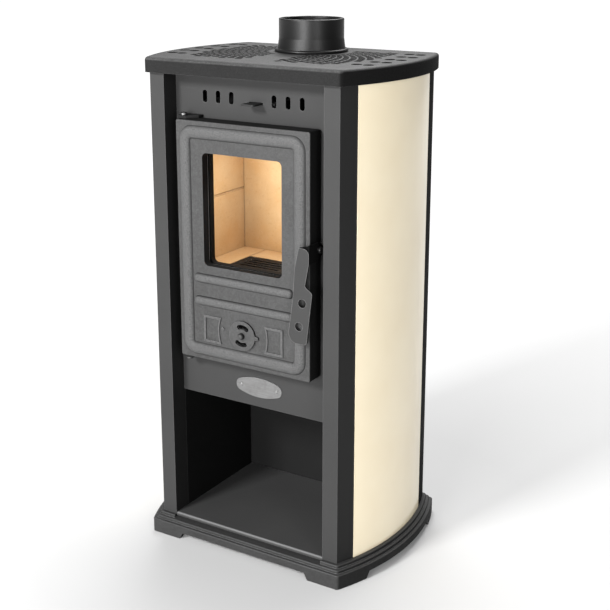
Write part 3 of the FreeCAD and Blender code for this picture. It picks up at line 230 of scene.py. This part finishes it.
# the crowns of the door's beads and embossed lines, painted paler than its face: partly rubbed wear, partly
# painted highlight
def beadCrowns(skin):
    face = doorDial["face"]
    return skin.span(skin.axis(1), face - doorDial["rise"], face - doorDial["full"])


# how far a spot lies from the centre of its side's arc, in plan
sideDial = {"centre": 0.1712, "behind": 0.0115}


def fromSideCentre(skin):
    out = abs(skin.axis(0)) + sideDial["centre"]
    along = skin.axis(1) - sideDial["behind"]
    return (out * out + along * along) ** 0.5


# painted shade: walls of the openwork and everything under the deck, in from the outer rim, are painted near
# black
deckDial = {"radius": 0.411, "half": 0.169, "top": 0.910, "rim": 0.012, "lip": 0.00006, "black": 0.00018}


def deckOpenings(skin):
    lip = deckDial["lip"]
    side = deckDial["radius"] - deckDial["rim"]
    end = deckDial["half"] - deckDial["rim"]
    inside = skin.span(fromSideCentre(skin), side + lip, side)
    between = skin.span(abs(skin.axis(1)), end + lip, end)
    under = skin.span(skin.axis(2), deckDial["top"] - lip, deckDial["top"] - deckDial["black"])
    return inside * between * under


# matt paint on folded sheet: very fine orange peel, soft cloud, thin pale fold lines as partly wear and
# partly painted highlight, flanks painted darker as painted shade
sheetDial = {
    "cloud": (5, 3, 0.55), "cloudDark": 0.92, "cloudPale": 1.08, "cloudWarm": 0.005, "cloudRough": 0.04,
    "peel": (1400, 2, 0.5), "peelRange": (0.45, 0.75), "peelShare": 0.2, "peelShade": 1.5,
    "front": (0, 1, 1), "flankPaintedShade": 0.3, "crestWearAndHighlightShade": 2.8, "wearAndHighlightShade": 6.0,
    "paintedShadeTone": 0.003, "paintedShadeRough": 0.35, "edge": 0.0018, "rounding": 0.7, "bump": 0.10, "depth": 0.0004,
}


def sheetFinish(name, level, wearAndHighlight=0.45, rough=0.58, paintedShadeZone=None, gloss=0.4, crestWearAndHighlight=None):
    dial = sheetDial
    skin = Finish(name, Specular_IOR_Level=gloss)
    peel = skin.noise(*dial["peel"])
    cloud = skin.noise(*dial["cloud"])
    edge = skin.edges(dial["edge"])
    pale = grey(level * dial["cloudPale"], dial["cloudWarm"])
    shade = skin.mix(skin.span(cloud), grey(level * dial["cloudDark"]), pale)
    specks = skin.span(peel, *dial["peelRange"]) * dial["peelShare"]
    shade = skin.mix(specks, shade, grey(level * dial["peelShade"]))
    # painted shade: side faces that look across the front weights are painted darker
    shade = skin.mix(skin.facing(dial["front"]), grey(level * dial["flankPaintedShade"]), shade)
    # painted highlight: where a crest mask is given, it is painted as a pale band
    if crestWearAndHighlight:
        shade = skin.mix(crestWearAndHighlight(skin), shade, grey(level * dial["crestWearAndHighlightShade"]))
    # edges painted paler: partly wear, partly painted highlight
    shade = skin.mix(edge * wearAndHighlight, shade, grey(level * dial["wearAndHighlightShade"]))
    rough = rough + skin.span(cloud, start=-dial["cloudRough"], stop=dial["cloudRough"])
    # painted shade: the zone is painted near black and made rougher
    if paintedShadeZone:
        paintedShadeMask = paintedShadeZone(skin)
        shade = skin.mix(paintedShadeMask, shade, grey(dial["paintedShadeTone"]))
        rough = rough + paintedShadeMask * dial["paintedShadeRough"]
    bump = skin.bump(peel, dial["bump"], dial["depth"], dial["edge"] * dial["rounding"])
    return skin.feed(Base_Color=shade, Roughness=rough, Normal=bump)


# painted shade: the lever's flange behind the plate is painted black
leverDial = {"face": -0.1795, "lap": 0.0007}


def leverBack(skin):
    face, lap = leverDial["face"], leverDial["lap"]
    return skin.span(skin.axis(1), face + lap / 2, face + lap)


# painted highlight: a pale band along the upper front of the wood store floor's rolled lip
lipDial = {"start": -0.1565, "full": -0.1585, "low": 0.0380, "high": 0.0405}


def paintedLipHighlight(skin):
    ahead = skin.span(skin.axis(1), lipDial["start"], lipDial["full"])
    return ahead * skin.span(skin.axis(2), lipDial["low"], lipDial["high"])


# painted shade: the air control is painted near black from the front panel inward
slideDial = {"panel": -0.148, "lap": 0.002}


def slideInside(skin):
    return skin.span(skin.axis(1), slideDial["panel"] - slideDial["lap"], slideDial["panel"])


# gloss enamel: warm cream that pools a little deeper at the folds, dark ground coat on the back
enamelDial = {
    "cream": (0.84, 0.74, 0.54, 1), "deep": (0.78, 0.66, 0.45, 1), "wave": (16, 2, 0.4), "waveShare": 0.35,
    "speck": (900, 2, 0.5), "speckRange": (0.68, 0.8), "speckShare": 0.12,
    "speckShade": (0.66, 0.56, 0.38, 1), "edge": 0.003, "edgeShare": 0.5,
    "rounding": 0.5, "bump": 0.05, "depth": 0.0006,
    "ground": 0.012, "radius": 0.403, "groundDepth": 0.0008, "creamDepth": 0.0004,
    "gloss": 0.5, "coat": 0.6, "coatRough": 0.06, "smooth": 0.20, "dull": 0.27,
}


def enamelFinish():
    dial = enamelDial
    skin = Finish("creamEnamel", Specular_IOR_Level=dial["gloss"], Coat_Weight=dial["coat"],
                  Coat_Roughness=dial["coatRough"])
    wave = skin.noise(*dial["wave"])
    speck = skin.noise(*dial["speck"])
    edge = skin.edges(dial["edge"])
    shade = skin.mix(skin.span(wave) * dial["waveShare"], dial["cream"], dial["deep"])
    shade = skin.mix(edge * dial["edgeShare"], shade, dial["deep"])
    shade = skin.mix(skin.span(speck, *dial["speckRange"]) * dial["speckShare"], shade, dial["speckShade"])
    inner, outer = dial["radius"] - dial["groundDepth"], dial["radius"] - dial["creamDepth"]
    shade = skin.mix(skin.span(fromSideCentre(skin), inner, outer), grey(dial["ground"]), shade)
    rough = skin.span(speck, start=dial["smooth"], stop=dial["dull"])
    bump = skin.bump(wave, dial["bump"], dial["depth"], dial["edge"] * dial["rounding"])
    return skin.feed(Base_Color=shade, Roughness=rough, Normal=bump)


# pressed fireclay: sandy tan with grog specks, dusty faces and dark joints
brickDial = {
    "tan": (0.49, 0.30, 0.13, 1), "pale": (0.53, 0.37, 0.20, 1), "cloud": (14, 4, 0.6),
    "grog": (260, 3, 0.6), "grogRange": (0.60, 0.72), "grogShare": 0.5, "grogShade": (0.30, 0.16, 0.06, 1),
    "joint": (0.035, 0.024, 0.015, 1), "jointShare": 0.85, "edge": 0.0045, "edgeRange": (0.01, 0.12),
    "grit": (1100, 3, 0.6), "grogHeight": 0.5, "gritHeight": 0.5,
    "rounding": 0.6, "bump": 0.4, "depth": 0.0009, "gloss": 0.2, "smooth": 0.82, "dull": 0.95,
}


def brickFinish():
    dial = brickDial
    skin = Finish("fireclay", Specular_IOR_Level=dial["gloss"])
    cloud = skin.noise(*dial["cloud"])
    grog = skin.noise(*dial["grog"])
    grit = skin.noise(*dial["grit"])
    edge = skin.edges(dial["edge"], *dial["edgeRange"])
    shade = skin.mix(skin.span(cloud), dial["tan"], dial["pale"])
    shade = skin.mix(skin.span(grog, *dial["grogRange"]) * dial["grogShare"], shade, dial["grogShade"])
    shade = skin.mix(edge * dial["jointShare"], shade, dial["joint"])
    rough = skin.span(grit, start=dial["smooth"], stop=dial["dull"])
    height = grog * dial["grogHeight"] + grit * dial["gritHeight"]
    bump = skin.bump(height, dial["bump"], dial["depth"], dial["edge"] * dial["rounding"])
    return skin.feed(Base_Color=shade, Roughness=rough, Normal=bump)


# bare steel: long drawn scratches, darker film in patches, edges paler as partly wear and partly painted
# highlight
steelDial = {
    "drawn": (1, 3, 0.6), "stretch": (40, 40, 1800), "drawnDark": 0.82, "drawnWarm": 0.01, "drawnPale": 1.1,
    "film": (60, 3, 0.6), "filmRange": (0.5, 0.8), "filmShare": 0.4, "filmShade": 0.5, "filmWarm": 0.03,
    "filmRough": (0.3, 0.8), "smoother": 0.08, "rougher": 0.1,
    "edge": 0.0009, "wearAndHighlightShare": 0.5, "wearAndHighlightShade": 1.6, "brightest": 0.95, "bump": 0.08, "depth": 0.0002,
}


def steelFinish(name, level, rough=0.34, stretch=steelDial["stretch"]):
    dial = steelDial
    skin = Finish(name, Metallic=1.0)
    drawn = skin.noise(*dial["drawn"], stretch)
    film = skin.noise(*dial["film"])
    edge = skin.edges(dial["edge"])
    dark = grey(level * dial["drawnDark"], dial["drawnWarm"])
    shade = skin.mix(skin.span(drawn), dark, grey(level * dial["drawnPale"]))
    patches = skin.span(film, *dial["filmRange"]) * dial["filmShare"]
    shade = skin.mix(patches, shade, grey(level * dial["filmShade"], dial["filmWarm"]))
    # edges painted paler: partly wear, partly painted highlight
    wornAndHighlit = grey(min(level * dial["wearAndHighlightShade"], dial["brightest"]))
    shade = skin.mix(edge * dial["wearAndHighlightShare"], shade, wornAndHighlit)
    rough = skin.span(film, *dial["filmRough"], rough - dial["smoother"], rough + dial["rougher"])
    bump = skin.bump(drawn, dial["bump"], dial["depth"], dial["edge"])
    return skin.feed(Base_Color=shade, Roughness=rough, Normal=bump)


# woven glass fibre: the surface's own strand height sets a painted shade in the hollows between strands and a
# painted light on their crowns
fibreDial = {
    "level": 0.12, "strandRange": (0.1, 0.8),
    "hollow": 0.35, "hollowWarm": 0.02, "crown": 1.2, "crownWarm": 0.03,
    "fuzz": (1600, 3, 0.6), "fuzzRange": (0.5, 0.75), "fuzzShare": 0.35, "fuzzShade": 1.8, "fuzzWarm": 0.02,
    "gloss": 0.15, "smooth": 0.85, "dull": 0.98, "edge": 0.0004, "bump": 0.5, "depth": 0.0006,
}


def fibreFinish():
    dial = fibreDial
    level = dial["level"]
    skin = Finish("sealFibre", Specular_IOR_Level=dial["gloss"])
    fuzz = skin.noise(*dial["fuzz"])
    strand = skin.node("ShaderNodeAttribute", {"attribute_name": "strand"}, {}, "Fac")
    hollow = grey(level * dial["hollow"], dial["hollowWarm"])
    crown = grey(level * dial["crown"], dial["crownWarm"])
    shade = skin.mix(skin.span(strand, *dial["strandRange"]), hollow, crown)
    stray = skin.span(fuzz, *dial["fuzzRange"]) * dial["fuzzShare"]
    shade = skin.mix(stray, shade, grey(level * dial["fuzzShade"], dial["fuzzWarm"]))
    rough = skin.span(fuzz, start=dial["smooth"], stop=dial["dull"])
    bump = skin.bump(fuzz, dial["bump"], dial["depth"], dial["edge"])
    return skin.feed(Base_Color=shade, Roughness=rough, Normal=bump)


# clear heat-proof glass with faint smears in its gloss
glassDial = {
    "tint": (0.01, 0.01, 0.009, 1), "gloss": 0.12, "smear": (22, 4, 0.65),
    "clear": 0.03, "veil": 0.06, "smooth": 0.03, "dull": 0.10,
}


def glassFinish():
    dial = glassDial
    skin = Finish("stoveGlass", Base_Color=dial["tint"], Specular_IOR_Level=dial["gloss"])
    smear = skin.noise(*dial["smear"])
    veil = skin.span(smear, start=dial["clear"], stop=dial["veil"])
    rough = skin.span(smear, start=dial["smooth"], stop=dial["dull"])
    return skin.feed(Alpha=veil, Roughness=rough)


# one finish for each material slot: name, level, then what differs from the usual
finishes = {
    "cast_base": castFinish("castBase", 0.021, wearAndHighlight=1.0, rough=0.5, grain=0.7, edgeSize=0.002),
    "casing_paint": sheetFinish("casingPaint", 0.031, gloss=0.2),
    "side_enamel": enamelFinish(),
    "back_paint": sheetFinish("backPaint", 0.016),
    "store_paint": sheetFinish("storePaint", 0.040, wearAndHighlight=1.0, crestWearAndHighlight=paintedLipHighlight),
    "firebox_steel": sheetFinish("fireboxBlack", 0.004, wearAndHighlight=0.1, rough=0.9, gloss=0.1),
    "firebrick": brickFinish(),
    "grate_iron": castFinish("grateIron", 0.006, rough=0.6, front=(0, 0, 1), gloss=0.15),
    "pan_steel": steelFinish("panSteel", 0.5, rough=0.42),
    # painted shade: the top's low front weight paints the front face of its rim darker
    "cast_top": castFinish("castTop", 0.030, wearAndHighlight=1.0, grain=1.2, paintedShadeZone=deckOpenings, front=(0, 0.55, 1),
                           gloss=0.15, edgeSize=0.0004),
    "flue_paint": sheetFinish("fluePaint", 0.005, wearAndHighlight=0.7, rough=0.40, gloss=0.34),
    "cast_door": castFinish("castDoor", 0.041, wearAndHighlight=0.4, grain=0.65, paintedShadeZone=windowReveal, front=(0, 1, 0),
                            gloss=0.15, crestWearAndHighlight=beadCrowns),
    "seal_fibre": fibreFinish(),
    "clear_glass": glassFinish(),
    "retainer_black": sheetFinish("retainerBlack", 0.004, wearAndHighlight=0.2, rough=0.7, gloss=0.1),
    "bright_steel": steelFinish("darkSteel", 0.30, rough=0.38),
    "cast_rosette": castFinish("castRosette", 0.038, grain=0.7, front=(0, 1, 0), gloss=0.3),
    "lever_steel": sheetFinish("leverGrey", 0.038, wearAndHighlight=0.8, rough=0.5, paintedShadeZone=leverBack, gloss=0.06),
    "badge_metal": steelFinish("badgeMetal", 0.22, rough=0.62, stretch=(30, 900, 900)),
}
# nodes that look different from the rest of their slot
# painted shade: a darker copy of the store paint for the wood store's inner back, ceiling and walls
shadedStore = sheetFinish("storeWallPaintedShade", 0.007, wearAndHighlight=0.6, rough=0.6, gloss=0.2)
blackIron = sheetFinish("blackIron", 0.006, wearAndHighlight=0.8, rough=0.5, gloss=0.2)
airTab = sheetFinish("airTab", 0.008, wearAndHighlight=0.8, rough=0.5, paintedShadeZone=slideInside, gloss=0.3)
pinSteel = steelFinish("pinSteel", 0.14)
# painted shade: the rear posts get a near-black paint of their own
rearPaintedShade = sheetFinish("rearPostPaintedShade", 0.006, wearAndHighlight=0.3, rough=0.8, gloss=0.06)
ownFinish = {
    "wood_store_back": shadedStore, "wood_store_ceiling": shadedStore,
    "wood_store_wall_left": shadedStore, "wood_store_wall_right": shadedStore,
    "rear_post_left": rearPaintedShade, "rear_post_right": rearPaintedShade,
    "hinge_bracket_upper": blackIron, "hinge_bracket_lower": blackIron, "latch_keeper": blackIron,
    "hinge_pins": pinSteel, "lever_bolt": pinSteel,
    "air_slide": airTab, "rosette_screw": finishes["cast_rosette"],
}
for entry in frame["record"]["subparts"]:
    skin = ownFinish.get(entry["node"], finishes[entry["material_slot"]])
    for slot in nodes[entry["node"]].material_slots:
        slot.material = skin


# evenly spaced points round a rectangle with quarter-circle corners, their outward normals and the length:
# corner centre + corner radius * (cos, sin) of the turn, straights between, resampled by length walked
def roundedLoop(halfWidth, low, high, corner, count, cornerPoints=17):
    quarter = np.linspace(0, np.pi / 2, cornerPoints)
    turns = np.concatenate([quarter + np.pi / 2 * step for step in range(4)])
    middleX = np.repeat([1, -1, -1, 1], quarter.size) * (halfWidth - corner)
    middleZ = np.repeat([high - corner, high - corner, low + corner, low + corner], quarter.size)
    bend = np.stack([middleX + corner * np.cos(turns), middleZ + corner * np.sin(turns)], 1)
    bend = np.concatenate([bend, bend[:1]])
    turns = np.append(turns, np.pi * 2)
    walked = np.append(0, np.cumsum(np.linalg.norm(np.diff(bend, axis=0), axis=1)))
    share = np.linspace(0, walked[-1], count, endpoint=False)
    spots = np.stack([np.interp(share, walked, bend[:, side]) for side in (0, 1)], 1)
    lean = np.interp(share, walked, turns)
    return spots, np.stack([np.cos(lean), np.sin(lean)], 1), share, walked[-1]


# closed tube: each ring of the grid joins the next, and the last joins the first, with faces outwards
def tubeMesh(name, points, strand):
    rings, around = points.shape[:2]
    ring, turn = np.meshgrid(np.arange(rings), np.arange(around), indexing="ij")
    nextRing, nextTurn = (ring + 1) % rings, (turn + 1) % around
    corners = np.stack([ring * around + turn, ring * around + nextTurn,
                        nextRing * around + nextTurn, nextRing * around + turn], -1).reshape(-1, 4)
    mesh = bpy.data.meshes.new(name)
    mesh.from_pydata(points.reshape(-1, 3), [], corners.tolist())
    heights = mesh.attributes.new("strand", "FLOAT", "POINT")
    heights.data.foreach_set("value", strand.ravel().astype(np.float32))
    mesh.polygons.foreach_set("use_smooth", np.ones(len(mesh.polygons), bool))
    piece = bpy.data.objects.new(name, mesh)
    bpy.context.scene.collection.objects.link(piece)
    return piece


# braided rope round the door, nearly round in section
ropeDial = {
    "node": "door_rope_seal", "slot": "seal_fibre", "corner": 0.010, "strands": 6, "pitch": 0.012,
    "relief": 0.16, "rings": 2000, "around": 24, "wide": 0.0100, "slack": 0.0002, "square": 2.6,
}
# flat woven tape round the glass, a flattened oval in section
tapeDial = {
    "node": "glass_gasket", "slot": "seal_fibre", "corner": 0.007, "strands": 14, "pitch": 0.006,
    "relief": 0.10, "rings": 1100, "around": 36, "wide": 0.0118, "slack": 0.00005, "square": 3.0,
}


# loop point + (cos, sin) ** (2 / square) * half sizes * (1 - relief + relief * braid),
# where braid is the higher of two crossing helices, |sin(strands / 2 * turn + wind)| and the same with - wind
def wovenSeal(name, dial):
    low, high = (np.array(corner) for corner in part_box(dial["node"]))
    half = dial["wide"] / 2
    spots, outward, share, length = roundedLoop(
        high[0] - half, low[2] + half, high[2] - half, dial["corner"], dial["rings"])
    turns = np.linspace(0, np.pi * 2, dial["around"], endpoint=False)
    wind = np.pi * round(length / dial["pitch"]) * share[:, None] / length
    lean = turns[None, :] * dial["strands"] / 2
    braid = np.maximum(np.abs(np.sin(lean + wind)), np.abs(np.sin(lean - wind)))
    scale = 1 - dial["relief"] + dial["relief"] * braid
    across = np.sign(np.cos(turns)) * np.abs(np.cos(turns)) ** (2 / dial["square"]) * half
    depth = np.sign(np.sin(turns)) * np.abs(np.sin(turns)) ** (2 / dial["square"])
    depth = depth * ((high[1] - low[1]) / 2 - dial["slack"])
    points = np.empty(scale.shape + (3,))
    points[..., 0] = spots[:, None, 0] + outward[:, None, 0] * across * scale
    points[..., 1] = (low[1] + high[1]) / 2 + depth * scale
    points[..., 2] = spots[:, None, 1] + outward[:, None, 1] * across * scale
    piece = tubeMesh(name, points, braid)
    piece.data.materials.append(finishes[dial["slot"]])
    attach(piece, "door")
    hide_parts(dial["node"])
    print(name, "woven,", len(piece.data.polygons), "faces")


wovenSeal("braidedDoorRope", ropeDial)
wovenSeal("wovenGlassTape", tapeDial)


# pale sweep whose glow is painted light: it glows toward the horizon, less so toward its unlit right, which
# starts along a slanted line; its colour is also painted darker toward the right, a painted shade
floorDial = {
    "half": 40.0, "level": -0.0006, "rough": 0.9, "gloss": 0.1, "slant": 0.27,
    "shade": 0.45, "sideShade": 0.22, "sideRange": (0.65, 1.4),
    "fleck": (3, 2, 0.5), "fleckShare": 0.05, "fleckShade": 0.6,
    "glowNear": 0.08, "glowFar": 0.95, "glowRange": (0.5, 4.0), "glowSide": 0.40, "glowSideRange": (1.8, 3.8),
}


def makeFloor():
    dial = floorDial
    half, level = dial["half"], dial["level"]
    mesh = bpy.data.meshes.new("studioFloor")
    corners = [(-half, -half, level), (half, -half, level), (half, half, level), (-half, half, level)]
    mesh.from_pydata(corners, [], [(0, 1, 2, 3)])
    floor = bpy.data.objects.new("studioFloor", mesh)
    bpy.context.scene.collection.objects.link(floor)
    skin = Finish("paleFloor", Roughness=dial["rough"], Specular_IOR_Level=dial["gloss"],
                  Emission_Strength=1.0)
    away = skin.node("ShaderNodeVectorMath", {"operation": "LENGTH"}, {0: skin.place}, "Value")
    aside = skin.axis(0) + skin.axis(1) * dial["slant"]
    far = skin.mix(skin.span(aside, *dial["glowSideRange"]), grey(dial["glowFar"]), grey(dial["glowSide"]))
    glow = skin.mix(skin.span(away, *dial["glowRange"]), grey(dial["glowNear"]), far)
    # painted shade: the floor's colour is darker toward the right
    shade = skin.mix(skin.span(aside, *dial["sideRange"]), grey(dial["shade"]), grey(dial["sideShade"]))
    fleck = skin.span(skin.noise(*dial["fleck"])) * dial["fleckShare"]
    shade = skin.mix(fleck, shade, grey(dial["fleckShade"]))
    mesh.materials.append(skin.feed(Base_Color=shade, Emission_Color=glow))


# soft boxes round the stove and a small one in its firebox: place, aim, width, height, watts
lampDial = {
    "keyFrontLeft": ((-0.9, -3.2, 2.4), (0.0, 0.0, 0.45), 0.7, 0.7, 180.0),
    "fillFront": ((0.3, -3.6, 0.9), (0.0, 0.0, 0.4), 1.2, 1.2, 110.0),
    "sideRight": ((2.6, -2.0, 1.3), (0.2, 0.0, 0.5), 0.8, 2.0, 36.0),
    "topSoft": ((-0.3, 1.2, 2.8), (0.0, 0.0, 0.9), 1.8, 1.8, 115.0),
    "fireboxGlow": ((-0.02, -0.09, 0.74), (0.0, 0.05, 0.53), 0.14, 0.04, 0.80),
}


def makeLamps():
    for name, (place, aim, width, height, watts) in lampDial.items():
        lamp = bpy.data.lights.new(name, "AREA")
        lamp.shape = "RECTANGLE"
        lamp.size = width
        lamp.size_y = height
        lamp.energy = watts
        holder = bpy.data.objects.new(name, lamp)
        holder.location = place
        holder.visible_camera = False
        holder.rotation_euler = (Vector(aim) - Vector(place)).to_track_quat("-Z", "Y").to_euler()
        bpy.context.scene.collection.objects.link(holder)


skyDial = {"shade": (1, 1, 1, 1), "strength": 0.26}


def makeSky():
    world = bpy.data.worlds.new("studioSky")
    world.use_nodes = True
    sky = world.node_tree.nodes["Background"]
    sky.inputs["Color"].default_value = skyDial["shade"]
    sky.inputs["Strength"].default_value = skyDial["strength"]
    bpy.context.scene.world = world


# the photograph's viewpoint: where the eye is, which ways are right and up, then the lens in millimetres
cameraDial = {
    "eye": (1.1246, -1.7769, 1.1175), "right": (0.8509, 0.5253, 0.0), "up": (-0.1326, 0.2149, 0.9676),
    "lens": 69.28, "sensor": 36.0, "shift": -0.1066,
}


def makeCamera():
    right, up = Vector(cameraDial["right"]), Vector(cameraDial["up"])
    lens = bpy.data.cameras.new("photoView")
    lens.lens = cameraDial["lens"]
    lens.sensor_width = cameraDial["sensor"]
    lens.shift_y = cameraDial["shift"]
    camera = bpy.data.objects.new("photoView", lens)
    turn = Matrix((right, up, right.cross(up))).transposed().to_4x4()
    camera.matrix_world = Matrix.Translation(cameraDial["eye"]) @ turn
    bpy.context.scene.collection.objects.link(camera)
    bpy.context.scene.camera = camera


makeFloor()
makeLamps()
makeSky()
makeCamera()
bpy.context.scene.view_settings.view_transform = "Standard"
print("floor, lamps, sky and camera set")
